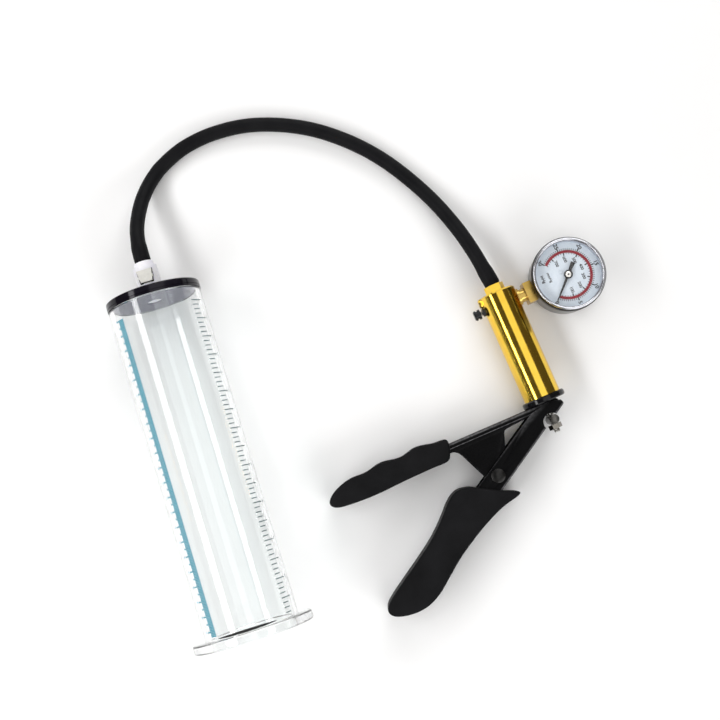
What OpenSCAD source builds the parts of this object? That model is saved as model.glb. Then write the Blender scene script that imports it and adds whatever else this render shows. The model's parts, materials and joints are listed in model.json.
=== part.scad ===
// Hand vacuum pump: a squeeze-grip brass pump with a dial gauge, joined by a
// rubber hose and a quick-release coupling to a clear graduated cylinder.
// Millimetres, +Z up. The origin is on the table under the middle of the whole
// object, measured without the hose. The cylinder points along -Y.

/* [Cylinder] */
// Outer diameter of the clear tube
tube_od = 63.5; // [60:0.5:64]
// Wall thickness of the clear tube
tube_wall = 3.175; // [2.5:0.025:4]
// Length of the clear tube
tube_len = 232.2; // [180:0.2:260]
// Outer diameter of the sealing flange at the mouth
flange_od = 81; // [76:1:90]
// Thickness of the sealing flange
flange_t = 6; // [5:0.5:9]
// Diameter of the closed end's cap
cap_od = 64.4; // [64:0.1:67]
// Thickness of the cap
cap_t = 5.8; // [5:0.1:8]

/* [Coupling] */
// Diameter of the coupling body
coupling_od = 16.4; // [16:0.2:18]
// Distance from the cap's inner face to the open end of the coupling body
coupling_reach = 24.2; // [24:0.1:26]
// Diameter of the hose insert's nose
nose_od = 8; // [7.6:0.1:8]
// Travel of the latch when its thumb tab is pressed
latch_travel = 1.2; // [0.8:0.1:1.2]

/* [Hose] */
// Outer diameter of the hose
hose_od = 10; // [9:0.5:11]

/* [Pump] */
// Outer diameter of the head and barrel
barrel_od = 25.4; // [25:0.1:26]
// Bore of the barrel
barrel_bore = 23; // [22.6:0.1:23.4]
// Length of the solid head
head_len = 18; // [17.5:0.5:20]
// Length of the barrel
barrel_len = 60; // [58:1:64]
// Diameter of the end cap, which also rests on the table
end_cap_od = 30; // [30:0.5:34]
// Thickness of the end cap
end_cap_t = 4.2; // [4:0.1:5]
// Diameter of the piston rod
rod_d = 6; // [5:0.1:6]
// Distance from the head's top face to the middle of the trunnion
trunnion_reach = 95; // [94.8:0.1:96]
// Diameter of the trunnion
trunnion_d = 6.6; // [6:0.1:6.8]

/* [Handles] */
// Distance of the lever's pivot to the left of the barrel axis
pivot_x = 50; // [49:0.5:52]
// Distance of the lever's pivot below the head's top face
pivot_reach = 115; // [114:0.5:116]
// Outer width of the fixed handle's channel
channel_w = 16; // [14:0.5:16]
// Sheet thickness of the channels
sheet_t = 1.6; // [1.2:0.1:1.8]
// Angle of the lever above the line across the barrel
lever_angle = 31; // [30:0.5:32]
// Thickness of the finger grip
finger_grip_t = 22; // [20:1:24]
// Thickness of the palm grip
palm_grip_t = 24; // [22:1:26]

/* [Gauge] */
// Outer diameter of the bezel
bezel_od = 50.4; // [50:0.2:52]
// Diameter of the gauge case
case_od = 48.4; // [48:0.2:49]
// Distance from the barrel axis to the middle of the dial
gauge_x = 47.9; // [47:0.1:50]
// Distance of the gauge's stem below the head's top face
gauge_reach = 9.2; // [9:0.1:9.6]
// Number of teeth on the pinion
pinion_teeth = 10; // [10:1:10]
// Number of teeth that a full ring of the sector would have
sector_teeth = 80; // [80:1:80]

/* [Hidden] */

$fn = 64;
// Radial room between two pieces that are fixed together
fixed_fit = 0.02;
// Radial room round a pin or rod that turns or slides
running_fit = 0.08;

// Where the cylinder's closed end and the pump's head stand on the table
cylinder_at = [-128.4, 113.5];
pump_at = [95.1, 51.8];
pump_turn = 5.8;

// The cylinder rests on its flange and on the cap's outer edge, so it leans
tube_r = tube_od / 2;
flange_r = flange_od / 2;
cap_r = cap_od / 2;
contact_span = tube_len - flange_t / 2 + cap_t;
cylinder_lean = atan((flange_r - cap_r) / contact_span);
cap_axis_h = cap_r * cos(cylinder_lean) + cap_t * sin(cylinder_lean);

// Coupling, measured outwards from the cap's inner face
thread_r = 5;
gasket_t = 0.8;
body_start = cap_t + gasket_t;
base_t = 3.9;
socket_start = 12;
seat_start = 10.8;
chamber_start = 4;
air_r = 1.8;
tail_len = 13;
tail_core_r = 2.9;
tail_barb_r = 3.6;
coupling_r = coupling_od / 2;
nose_r = nose_od / 2;
latch_from = 15.5;
latch_t = 1.6;
latch_half_w = 5;
tab_z = 9;
tab_t = 1.3;
spring_pocket_at = 19;
spring_seat_z = 5.6;
collar_r = 6.6;
insert_collar_from = coupling_reach + 0.2;
insert_collar_to = insert_collar_from + 3.3;

// Pump, measured down the barrel from the head's top face
head_r = barrel_od / 2;
bore_r = barrel_bore / 2;
barrel_end = head_len + barrel_len;
spigot_len = 7;
end_cap_r = end_cap_od / 2;
end_cap_spigot = 6;
web_from = barrel_end + end_cap_t;
web_t = 1.8;
barrel_h = end_cap_r;
piston_from = 27;
piston_to = 36;
rod_r = rod_d / 2;
rod_from = 30;
rod_thread_r = 2;
rod_end = trunnion_reach + 9;
trunnion_r = trunnion_d / 2;
trunnion_half = 11.2;
hex_reach = 5.3;
spotface_x = 12;
passage_r = 1.2;
hose_port_r = 4.5;
hose_port_depth = 7.6;
gauge_port_r = 5;
gauge_port_x = 5.6;
gauge_seat_r = 5.9;
plug_at = 3.4;
plug_r = 2.2;
plug_x = 7;
plug_head_r = 3.4;
release_at = 9.6;
release_r = 2.4;
release_x = 7.9;
release_flange_r = 2.75;
button_stem_r = 1.1;
inlet_pocket_r = 6;
inlet_pocket_from = 22;
screw_x = 7;
screw_r = 1.25;

// Handles
pivot = [-pivot_x, -pivot_reach];
rivet_r = 2.5;
lug_r = 6;
lever_gap = 0.3;
lever_in = channel_w / 2 + lever_gap;
lever_t = 1.5;
lever_out = lever_in + lever_t;
lever_low = -7.8;
lever_high = 6.9;
lever_tail = -97;
lever_web_t = 1.3;
tang_end = -151;
tang_depth = 5.8;

// Gauge, measured from its stem's height on the dial's axis
case_r = case_od / 2;
bezel_r = bezel_od / 2;
case_wall = 1;
case_back = -13;
case_rim = 14;
bezel_top = 18;
dial_z = 10.6;
dial_t = 0.6;
dial_r = 22.6;
needle_z = 12.4;
neck_r = 4.6;
plate_z = 2.6;
plate_t = 0.8;
plate_gap = 5.4;
arbor_r = 0.6;
sector_shaft_r = 0.8;
case_screw_x = 29.4;
case_screw_y = 2.8;
case_screw_r = 1.05;
dial_screw_at = [4, 3.5];
sector_pivot_y = -13.5;
tooth_module = 2 * -sector_pivot_y / (pinion_teeth + sector_teeth);
addendum = 0.24;
dedendum = 0.4;
tooth_root_w = 0.5;
tooth_tip_w = 0.2;

// Middle line of the hose, from the coupling to the pump head
hose_route = [
    [-128.4, 141.2, 31.3], [-128.3, 150, 30.6], [-127.8, 158, 28.4], [-126.4, 167, 24.4],
    [-123.5, 176.5, 19.2], [-119, 186.5, 14], [-113, 195.5, 9.6], [-106.5, 202.5, 6.8],
    [-99, 208.2, 5.4], [-84, 215.2, 5], [-68, 218.8, 5], [-52, 219.6, 5], [-36, 218.2, 5],
    [-20, 214.2, 5], [-4, 208, 5], [11, 200, 5], [25, 190, 5], [37.5, 179, 5],
    [49, 166.5, 5], [59, 153, 5.1], [68, 138.5, 5.6], [75, 125, 6.8], [80, 113, 8.8],
    [84, 101.5, 11.4], [87, 91, 13.5], [89.6, 80.5, 14.8], [91.8, 70, 15], [94.6, 57.1, 15]];

// Corners of the finger grip's outline, joined by a smooth closed curve
finger_outline = [
    [-71.8, -83], [-72.6, -78.4], [-81, -77.6], [-93.5, -75.2], [-105.5, -77.5],
    [-119, -75.4], [-131, -77.6], [-143, -77.4], [-155, -81], [-161.6, -87],
    [-158.5, -91.8], [-148, -93.6], [-130, -94.4], [-110, -93.5], [-90, -93],
    [-77.5, -93], [-74, -89.5]];

// Corners of the palm grip's outline, joined by a smooth closed curve
palm_outline = [
    [-51.5, -125.1], [-65.5, -117], [-72, -113.8], [-80, -113.1], [-87.5, -117.2],
    [-97.5, -127], [-109, -136.6], [-122.5, -145.5], [-137, -154.4], [-150, -163],
    [-153.8, -168.6], [-150.5, -173.6], [-140, -176.6], [-128, -176.1], [-117, -171.4],
    [-106, -163.3], [-95, -155.2], [-85, -149.2], [-75.5, -144], [-66, -139.5],
    [-55, -135.2], [-43, -132.5], [-41, -130]];

// ---- frames ----

module in_cylinder() {
    translate([cylinder_at.x, cylinder_at.y, cap_axis_h])
        rotate([-cylinder_lean, 0, 0])
            children();
}

module in_pump() {
    translate([pump_at.x, pump_at.y, barrel_h])
        rotate([0, 0, pump_turn])
            children();
}

// Draws children standing on Z along the cylinder axis, away from the tube
module outward() {
    rotate([-90, 0, 0]) children();
}

// Draws children standing on Z down the barrel
module down() {
    rotate([90, 0, 0]) children();
}

// Draws children standing on Z out of the head's left side, at a given reach
module leftward(reach) {
    translate([0, -reach, 0]) rotate([0, -90, 0]) children();
}

module rightward(reach) {
    translate([0, -reach, 0]) rotate([0, 90, 0]) children();
}

module in_lever() {
    translate([pivot.x, pivot.y, 0]) rotate([0, 0, lever_angle]) children();
}

module in_gauge() {
    in_pump() translate([gauge_x, -gauge_reach, 0]) children();
}

// ---- curves and small shapes ----

function unit(v) = v / norm(v);

// A point on the smooth curve between b and c, with a and d before and after
function curve_point(a, b, c, d, t) =
    (2 * b + (c - a) * t + (2 * a - 5 * b + 4 * c - d) * t * t
    + (3 * b - a - 3 * c + d) * t * t * t) / 2;

function closed_curve(p, steps) = let (n = len(p))
    [for (i = [0:n - 1], k = [0:steps - 1])
        curve_point(p[(i + n - 1) % n], p[i], p[(i + 1) % n], p[(i + 2) % n], k / steps)];

function open_curve(p, steps) = let (n = len(p))
    [for (i = [0:n - 2], k = [0:steps - 1])
        curve_point(p[max(i - 1, 0)], p[i], p[i + 1], p[min(i + 2, n - 1)], k / steps),
    p[n - 1]];

function direction(path, i) = unit(path[min(i + 1, len(path) - 1)] - path[max(i - 1, 0)]);

function ring(path, i, r, sides) =
    let (along = direction(path, i), side = unit(cross(along, [0, 0, 1])), up = cross(side, along))
    [for (k = [0:sides - 1]) path[i] + r * (cos(360 * k / sides) * side + sin(360 * k / sides) * up)];

// A round bar that follows a path
module swept(path, r, sides) {
    last = len(path) - 1;
    points = [for (i = [0:last]) each ring(path, i, r, sides)];
    start_face = [for (k = [sides - 1:-1:0]) k];
    end_face = [for (k = [0:sides - 1]) last * sides + k];
    side_faces = [for (i = [0:last - 1], k = [0:sides - 1])
        [i * sides + k, i * sides + (k + 1) % sides,
        (i + 1) * sides + (k + 1) % sides, (i + 1) * sides + k]];
    polyhedron(points = points, faces = [start_face, end_face, each side_faces]);
}

function helix(r, length, turns, steps) =
    [for (i = [0:turns * steps]) let (a = 360 * i / steps)
        [r * cos(a), r * sin(a), length * i / (turns * steps)]];

// A coil spring standing on Z, whose wire stays inside its length
module coil(r, wire, length, turns) {
    translate([0, 0, wire / 2])
        swept(helix(r, length - wire, turns, 14), wire / 2, 6);
}

module tube(h, r_out, r_in) {
    difference() {
        cylinder(h = h, r = r_out);
        translate([0, 0, -1]) cylinder(h = h + 2, r = r_in);
    }
}

module o_ring(z, r_mid, r_wire) {
    translate([0, 0, z]) rotate_extrude() translate([r_mid, 0]) circle(r = r_wire, $fn = 24);
}

// A hose tail with rounded barbs, standing on Z from z = 0
module hose_tail(length, r_core, r_barb) {
    barbs = 3;
    pitch = length / barbs;
    profile = [[0, 0], [r_core, 0], each [for (i = [0:barbs - 1]) each
        [[r_barb, i * pitch + 0.3], [r_barb, i * pitch + 1], [r_core, (i + 1) * pitch]]],
        [0, length]];
    rotate_extrude() polygon(profile);
}

// A round head with a bevelled top, standing on Z
module button_head(r, h, bevel) {
    rotate_extrude()
        polygon([[0, 0], [r, 0], [r, h - bevel], [r - bevel, h], [0, h]]);
}

function polar(r, a) = [r * cos(a), r * sin(a)];

// The four corners of one gear tooth that points at angle a
function tooth(root_r, tip_r, a) =
    let (root_a = asin(tooth_root_w / 2 / root_r), tip_a = asin(tooth_tip_w / 2 / tip_r))
    [polar(root_r, a - root_a), polar(tip_r, a - tip_a),
    polar(tip_r, a + tip_a), polar(root_r, a + root_a)];

// ---- cylinder ----

module cylinder_tube() {
    color("azure", 0.4) in_cylinder() rotate([90, 0, 0])
        tube(tube_len, tube_r, tube_r - tube_wall);
}

module cylinder_flange() {
    edge = 2.4;
    color("azure", 0.4) in_cylinder()
        rotate([90, 0, 0]) translate([0, 0, tube_len - flange_t]) difference() {
            union() {
                cylinder(h = flange_t, r = flange_r - edge);
                translate([0, 0, edge]) cylinder(h = flange_t - 2 * edge, r = flange_r);
                o_ring(edge, flange_r - edge, edge);
                o_ring(flange_t - edge, flange_r - edge, edge);
            }
            translate([0, 0, -1]) cylinder(h = flange_t + 2, r = tube_r);
        }
}

module cylinder_cap() {
    bevel = 0.6;
    color("black") in_cylinder() outward() difference() {
        button_head(cap_r, cap_t, bevel);
        translate([0, 0, -1]) cylinder(h = cap_t + 2, r = thread_r);
    }
}

module cap_gasket() {
    color("dimgray") in_cylinder() outward() translate([0, 0, cap_t])
        tube(gasket_t, coupling_r + 0.2, thread_r);
}

// ---- coupling ----

module coupling_body() {
    base_r = coupling_r + 0.6;
    slot_half_w = latch_half_w + 0.3;
    slot_low = -12;
    slot_high = 7.9;
    flat_z = 7.5;
    flat_from = 12.2;
    flat_len = 9;
    seat_r = air_r + 0.2;
    chamber_r = nose_r - 0.7;
    pocket_r = 1.6;
    cylinder_from = body_start + base_t;
    color("lavender") in_cylinder() outward() difference() {
        union() {
            translate([0, 0, 0.2]) cylinder(h = body_start, r = thread_r - fixed_fit);
            translate([0, 0, body_start]) cylinder(h = base_t, r = base_r);
            translate([0, 0, cylinder_from])
                cylinder(h = coupling_reach - cylinder_from, r = coupling_r);
        }
        translate([0, 0, socket_start])
            cylinder(h = coupling_reach - socket_start + 1, r = nose_r + 0.15);
        translate([0, 0, seat_start - 1]) cylinder(h = 3, r = seat_r);
        translate([0, 0, chamber_start]) cylinder(h = seat_start - chamber_start, r = chamber_r);
        translate([0, 0, -1]) cylinder(h = chamber_start + 2, r = air_r);
        // slot for the latch plate, the flat under its tab, and the spring's pocket
        translate([-slot_half_w, slot_low, latch_from - 0.1])
            cube([2 * slot_half_w, slot_high - slot_low, latch_t + 0.2]);
        translate([-slot_half_w, slot_low, flat_from])
            cube([2 * slot_half_w, -flat_z - slot_low, flat_len]);
        translate([0, slot_low, spring_pocket_at])
            rotate([-90, 0, 0]) cylinder(h = -spring_seat_z - slot_low, r = pocket_r);
    }
}

module coupling_latch() {
    hole_rise = 0.85;
    hole_r = nose_r + 0.25;
    plate_low = 5.6;
    corner = 1.5;
    tab_from = 12.6;
    tab_to = 20.8;
    tab_narrow = 3.9;
    tab_wide = 5.3;
    color("silver") in_cylinder() {
        translate([0, latch_from + latch_t, 0]) rotate([90, 0, 0]) linear_extrude(latch_t) difference() {
            polygon([[-latch_half_w, tab_z], [-latch_half_w, corner - plate_low],
                [corner - latch_half_w, -plate_low], [latch_half_w - corner, -plate_low],
                [latch_half_w, corner - plate_low], [latch_half_w, tab_z]]);
            translate([0, hole_rise]) circle(r = hole_r);
        }
        translate([0, 0, tab_z]) linear_extrude(tab_t)
            polygon([[-tab_narrow, tab_from], [tab_narrow, tab_from],
                [tab_wide, tab_to], [-tab_wide, tab_to]]);
    }
}

module latch_spring() {
    color("silver") in_cylinder() translate([0, spring_pocket_at, spring_seat_z + 0.05])
        coil(1.1, 0.36, tab_z - spring_seat_z - 0.1, 4);
}

module coupling_valve() {
    disc_from = 7.6;
    disc_t = 1.2;
    stem_r = 1.2;
    stem_len = 4;
    color("white") in_cylinder() outward() translate([0, 0, disc_from]) {
        cylinder(h = disc_t, r = 3);
        cylinder(h = disc_t + stem_len - 0.2, r = stem_r);
    }
}

module coupling_valve_spring() {
    color("silver") in_cylinder() outward() translate([0, 0, chamber_start + 0.05])
        coil(2.3, 0.36, 3.5, 4);
}

module hose_insert() {
    nose_from = 12.7;
    latch_groove_r = 3.3;
    seal_groove_from = 19;
    seal_groove_t = 2;
    seal_groove_r = 3;
    color("white") in_cylinder() outward() difference() {
        union() {
            translate([0, 0, nose_from]) cylinder(h = insert_collar_from - nose_from, r = nose_r);
            translate([0, 0, insert_collar_from])
                cylinder(h = insert_collar_to - insert_collar_from, r = collar_r);
            translate([0, 0, insert_collar_to]) hose_tail(tail_len, tail_core_r, tail_barb_r);
        }
        translate([0, 0, nose_from - 1]) cylinder(h = 40, r = air_r);
        translate([0, 0, latch_from - 0.3]) tube(latch_t + 0.6, nose_r + 1, latch_groove_r);
        translate([0, 0, seal_groove_from]) tube(seal_groove_t, nose_r + 1, seal_groove_r);
    }
}

module coupling_seal() {
    color("black") in_cylinder() outward() o_ring(20, 3.56, 0.55);
}

module hose() {
    color("black") swept(open_curve(hose_route, 2), hose_od / 2, 12);
}

// ---- pump head ----

module hose_fitting() {
    hex_r = 6.93;
    color("goldenrod") in_pump() difference() {
        union() {
            translate([0, hex_reach, 0]) down() cylinder(h = hex_reach, r = hex_r, $fn = 6);
            down() cylinder(h = hose_port_depth - 0.1, r = hose_port_r - fixed_fit);
            translate([0, hex_reach, 0]) outward() hose_tail(tail_len, tail_core_r, tail_barb_r);
        }
        translate([0, 40, 0]) down() cylinder(h = 60, r = air_r);
    }
}

module pump_head() {
    top_round = 1;
    seal_groove = [head_len + 1.9, head_len + 4];
    color("goldenrod") in_pump() difference() {
        down() union() {
            rotate_extrude() polygon([[0, 0], [head_r - top_round, 0], [head_r, top_round],
                [head_r, head_len], [0, head_len]]);
            translate([0, 0, head_len]) cylinder(h = spigot_len, r = bore_r - fixed_fit);
        }
        // hose port, air passage, the inlet valve's pocket and the seal's groove
        down() translate([0, 0, -1]) cylinder(h = hose_port_depth + 1, r = hose_port_r);
        down() cylinder(h = 30, r = 2);
        down() translate([0, 0, inlet_pocket_from]) cylinder(h = 10, r = inlet_pocket_r);
        down() translate([0, 0, seal_groove[0]])
            tube(seal_groove[1] - seal_groove[0], bore_r + 1, bore_r - 2);
        // gauge port
        rightward(gauge_reach) {
            cylinder(h = 10, r = passage_r);
            translate([0, 0, gauge_port_x]) cylinder(h = 10, r = gauge_port_r);
            translate([0, 0, spotface_x]) cylinder(h = 5, r = gauge_seat_r + 0.3);
        }
        // release valve's port
        leftward(release_at) {
            cylinder(h = 10, r = 0.8);
            translate([0, 0, release_x - 1.9]) cylinder(h = 10, r = release_r);
            translate([0, 0, spotface_x]) cylinder(h = 5, r = release_flange_r + 0.05);
        }
        // check valve's port
        leftward(plug_at) {
            translate([0, 0, plug_x]) cylinder(h = 10, r = plug_r);
            translate([0, 0, spotface_x]) cylinder(h = 5, r = plug_head_r + 0.05);
        }
    }
}

module inlet_valve() {
    color("dimgray") in_pump() down() translate([0, 0, inlet_pocket_from + 0.05])
        cylinder(h = 0.8, r = inlet_pocket_r - 0.4);
}

module valve_retainer() {
    color("goldenrod") in_pump() down() translate([0, 0, inlet_pocket_from + 0.9])
        tube(2, inlet_pocket_r - fixed_fit, 3.2);
}

module check_valve_plug() {
    head_t = 2.4;
    slot_w = 0.8;
    slot_depth = 0.7;
    color("goldenrod") in_pump() leftward(plug_at) difference() {
        union() {
            translate([0, 0, plug_x + 0.2])
                cylinder(h = spotface_x - plug_x, r = plug_r - fixed_fit);
            translate([0, 0, spotface_x]) button_head(plug_head_r, head_t, 1);
        }
        translate([-slot_w / 2, -5, spotface_x + head_t - slot_depth]) cube([slot_w, 10, 2]);
    }
}

module release_valve_body() {
    flange_t = 2.2;
    spring_seat = 0.6;
    spring_room_r = 2.3;
    color("black") in_pump() leftward(release_at) difference() {
        union() {
            translate([0, 0, release_x + 0.1]) cylinder(h = 5, r = release_r - fixed_fit);
            translate([0, 0, spotface_x]) cylinder(h = flange_t, r = release_flange_r);
        }
        translate([0, 0, release_x - 1]) cylinder(h = 10, r = button_stem_r + running_fit);
        translate([0, 0, spotface_x + spring_seat]) cylinder(h = 4, r = spring_room_r);
    }
}

module release_button() {
    stem_from = 8.4;
    head_from = 16;
    head_h = 4.6;
    neck_at = 1.6;
    neck_t = 1.2;
    neck_r = 2.7;
    color("black") in_pump() leftward(release_at) {
        translate([0, 0, stem_from]) cylinder(h = head_from - stem_from + 0.1, r = button_stem_r);
        translate([0, 0, head_from]) difference() {
            button_head(3.5, head_h, 0.8);
            translate([0, 0, neck_at]) tube(neck_t, 5, neck_r);
        }
    }
}

module release_spring() {
    color("silver") in_pump() leftward(release_at) translate([0, 0, spotface_x + 0.65])
        coil(1.75, 0.4, 3.3, 4);
}

// ---- barrel and piston ----

module barrel() {
    color("goldenrod") in_pump() down() translate([0, 0, head_len])
        tube(barrel_len, head_r, bore_r);
}

module barrel_seal() {
    color("black") in_pump() down() o_ring(head_len + 2.95, bore_r - 0.98, 0.95);
}

module piston() {
    seal_mid = (piston_from + piston_to) / 2;
    groove_t = 2.6;
    groove_r = 8.9;
    color("dimgray") in_pump() down() difference() {
        translate([0, 0, piston_from]) cylinder(h = piston_to - piston_from, r = bore_r - 0.3);
        translate([0, 0, seal_mid - groove_t / 2]) tube(groove_t, bore_r + 1, groove_r);
        translate([0, 0, rod_from]) cylinder(h = 10, r = rod_r + fixed_fit);
    }
}

module piston_seal() {
    seal_mid = (piston_from + piston_to) / 2;
    color("black") in_pump() down() o_ring(seal_mid, 10.2, 1.22);
}

module piston_rod() {
    shoulder = trunnion_reach - trunnion_r - 0.2;
    color("silver") in_pump() down() {
        translate([0, 0, rod_from]) cylinder(h = shoulder - rod_from, r = rod_r);
        translate([0, 0, shoulder - 0.1]) cylinder(h = rod_end - shoulder + 0.1, r = rod_thread_r);
    }
}

module return_spring() {
    spring_from = piston_to + 0.2;
    spring_to = barrel_end - end_cap_spigot - 0.2;
    color("silver") in_pump() down() translate([0, 0, spring_from])
        coil(7, 1.3, spring_to - spring_from, 8);
}

module end_cap() {
    edge = 0.8;
    color("black") in_pump() down() difference() {
        union() {
            translate([0, 0, barrel_end - end_cap_spigot])
                cylinder(h = end_cap_spigot + 0.1, r = bore_r - fixed_fit);
            translate([0, 0, barrel_end]) rotate_extrude()
                polygon([[0, 0], [end_cap_r - edge, 0], [end_cap_r, edge],
                    [end_cap_r, end_cap_t - edge], [end_cap_r - edge, end_cap_t], [0, end_cap_t]]);
        }
        cylinder(h = 120, r = rod_r + running_fit);
        for (x = [-screw_x, screw_x]) translate([x, 0, barrel_end - 2])
            cylinder(h = 20, r = screw_r);
    }
}

module end_cap_screws() {
    color("silver") in_pump() down() for (x = [-screw_x, screw_x]) translate([x, 0, 0]) {
        translate([0, 0, barrel_end - 1.8])
            cylinder(h = end_cap_t + web_t + 1.9, r = screw_r - fixed_fit);
        translate([0, 0, web_from + web_t]) button_head(2.6, 1.6, 0.5);
    }
}

// ---- handles ----

module lug_outline() {
    left_tangent = pivot + lug_r * [-0.915, -0.403];
    right_tangent = pivot + lug_r * [0.935, -0.354];
    difference() {
        union() {
            polygon([[tang_end, -web_from], [tang_end, -web_from - tang_depth],
                [-72, -web_from - tang_depth - 0.6], [-69, -90], [-66.8, -93],
                left_tangent, pivot, right_tangent,
                [-34.4, -90], [-32.2, -88.4], [-15, -87], [3, -87], [5, -85], [5, -web_from]]);
            translate(pivot) circle(r = lug_r);
        }
        translate(pivot) circle(r = rivet_r + fixed_fit);
    }
}

module handle_frame() {
    half = channel_w / 2;
    color("black") in_pump() difference() {
        union() {
            for (z = [-half, half - sheet_t]) translate([0, 0, z])
                linear_extrude(sheet_t) lug_outline();
            translate([tang_end, -web_from - web_t, -half])
                cube([10 - tang_end, web_t, channel_w]);
        }
        down() cylinder(h = 120, r = rod_r + 0.4);
        down() for (x = [-screw_x, screw_x]) translate([x, 0, barrel_end])
            cylinder(h = 20, r = screw_r + 0.05);
    }
}

module finger_grip() {
    room = 0.05;
    half = channel_w / 2 + room;
    color("black") in_pump() difference() {
        translate([0, 0, -finger_grip_t / 2]) linear_extrude(finger_grip_t)
            polygon(closed_curve(finger_outline, 4));
        translate([tang_end - room, -web_from - tang_depth - 0.7, -half])
            cube([-tang_end, tang_depth + 0.7 + room, 2 * half]);
    }
}

module lever_outline() {
    difference() {
        polygon([[lever_tail, lever_low], [66, lever_low], [66.4, -4.4], [62.4, -0.4],
            [45, lever_high], [lever_tail, lever_high]]);
        translate([50.9, -8.6]) circle(r = 6.1);
        circle(r = rivet_r + running_fit);
    }
}

module palm_lever() {
    web_to = 40;
    color("black") in_pump() in_lever() {
        for (z = [-lever_out, lever_in]) translate([0, 0, z])
            linear_extrude(lever_t) lever_outline();
        translate([lever_tail, lever_low, -lever_in - 0.1])
            cube([web_to - lever_tail, lever_web_t, 2 * lever_in + 0.2]);
    }
}

module palm_grip() {
    room = 0.05;
    half = lever_out + room;
    color("black") in_pump() difference() {
        translate([0, 0, -palm_grip_t / 2]) linear_extrude(palm_grip_t)
            polygon(closed_curve(palm_outline, 4));
        in_lever() translate([lever_tail - room, lever_low - room, -half])
            cube([-lever_tail + 20, lever_high - lever_low + 2 * room, 2 * half]);
    }
}

module pivot_rivet() {
    head_from = lever_out + lever_gap;
    color("silver") in_pump() translate([pivot.x, pivot.y, 0]) {
        translate([0, 0, -head_from]) cylinder(h = 2 * head_from, r = rivet_r);
        for (side = [0, 180]) rotate([side, 0, 0]) translate([0, 0, head_from])
            button_head(4.75, 1.3, 0.5);
    }
}

module pivot_spacer() {
    half = channel_w / 2 - sheet_t - 0.05;
    color("silver") in_pump() translate([pivot.x, pivot.y, -half])
        tube(2 * half, 4.2, rivet_r + fixed_fit);
}

module trunnion() {
    bevel = 0.4;
    color("silver") in_pump() difference() {
        translate([0, -trunnion_reach, -trunnion_half]) rotate_extrude()
            polygon([[0, 0], [trunnion_r - bevel, 0], [trunnion_r, bevel],
                [trunnion_r, 2 * trunnion_half - bevel], [trunnion_r - bevel, 2 * trunnion_half],
                [0, 2 * trunnion_half]]);
        down() cylinder(h = 150, r = rod_thread_r + fixed_fit);
    }
}

module rod_nut() {
    color("silver") in_pump() down() translate([0, 0, trunnion_reach + trunnion_r + 0.1])
        difference() {
            cylinder(h = 3.2, r = 4.6, $fn = 6);
            translate([0, 0, -1]) cylinder(h = 6, r = rod_thread_r + fixed_fit);
        }
}

// ---- gauge ----

module gauge_socket() {
    block = 14.4;
    block_from = 17.6;
    block_to = gauge_x - case_r - 0.3;
    foot = [25.4, 34];
    foot_w = 10;
    foot_low = case_back + case_wall;
    color("goldenrod") in_pump() difference() {
        union() {
            rightward(gauge_reach) {
                translate([0, 0, gauge_port_x + 0.1]) cylinder(h = 8, r = gauge_port_r - fixed_fit);
                translate([0, 0, spotface_x]) cylinder(h = 1.7, r = gauge_seat_r);
                translate([0, 0, spotface_x]) cylinder(h = 13.5, r = neck_r);
            }
            translate([block_from, -gauge_reach - block / 2, -block / 2])
                cube([block_to - block_from, block, block]);
            translate([foot[0], -gauge_reach - foot_w / 2, foot_low])
                cube([foot[1] - foot[0], foot_w, plate_z - foot_low]);
        }
        rightward(gauge_reach) cylinder(h = 30, r = passage_r);
        for (y = [-case_screw_y, case_screw_y])
            translate([case_screw_x, y - gauge_reach, foot_low - 1])
                cylinder(h = 7, r = case_screw_r);
    }
}

module gauge_case() {
    edge = 1.5;
    depth = case_rim - case_back;
    color("gray") in_gauge() difference() {
        translate([0, 0, case_back]) rotate_extrude()
            polygon([[0, 0], [case_r - edge, 0], [case_r, edge], [case_r, depth], [0, depth]]);
        translate([0, 0, case_back + case_wall]) cylinder(h = 40, r = case_r - case_wall);
        rotate([0, -90, 0]) cylinder(h = 40, r = neck_r + fixed_fit);
        for (y = [-case_screw_y, case_screw_y])
            translate([case_screw_x - gauge_x, y, case_back - 1])
                cylinder(h = 4, r = case_screw_r + 0.05);
    }
}

module gauge_bezel() {
    lip_r = 22.4;
    skirt_low = 10.4;
    lip_low = 16.75;
    color("silver") in_gauge() rotate_extrude()
        polygon([[case_r + 0.05, skirt_low], [bezel_r, skirt_low], [bezel_r, bezel_top - 1.2],
            [bezel_r - 1.2, bezel_top], [lip_r + 0.8, bezel_top], [lip_r, bezel_top - 0.8],
            [lip_r, lip_low], [case_r + 0.05, lip_low]]);
}

module gauge_lens() {
    color("white", 0.3) in_gauge() translate([0, 0, 15.1]) cylinder(h = 1.6, r = case_r - 0.1);
}

module lens_gasket() {
    color("black") in_gauge() translate([0, 0, case_rim]) tube(1.1, case_r - 0.1, 22.9);
}

module gauge_dial() {
    color("white") in_gauge() difference() {
        translate([0, 0, dial_z]) cylinder(h = dial_t, r = dial_r);
        translate([0, 0, dial_z - 1]) cylinder(h = 3, r = 1.4);
        for (side = [-1, 1]) translate([side * dial_screw_at.x, dial_screw_at.y, dial_z - 1])
            cylinder(h = 3, r = 0.7);
    }
}

module dial_screws() {
    shank_low = plate_z + plate_gap + plate_t + 0.1;
    color("silver") in_gauge() for (side = [-1, 1])
        translate([side * dial_screw_at.x, dial_screw_at.y, 0]) {
            translate([0, 0, shank_low]) cylinder(h = dial_z + dial_t - shank_low + 0.1, r = 0.68);
            translate([0, 0, dial_z + dial_t]) button_head(1.2, 0.6, 0.2);
        }
}

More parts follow.
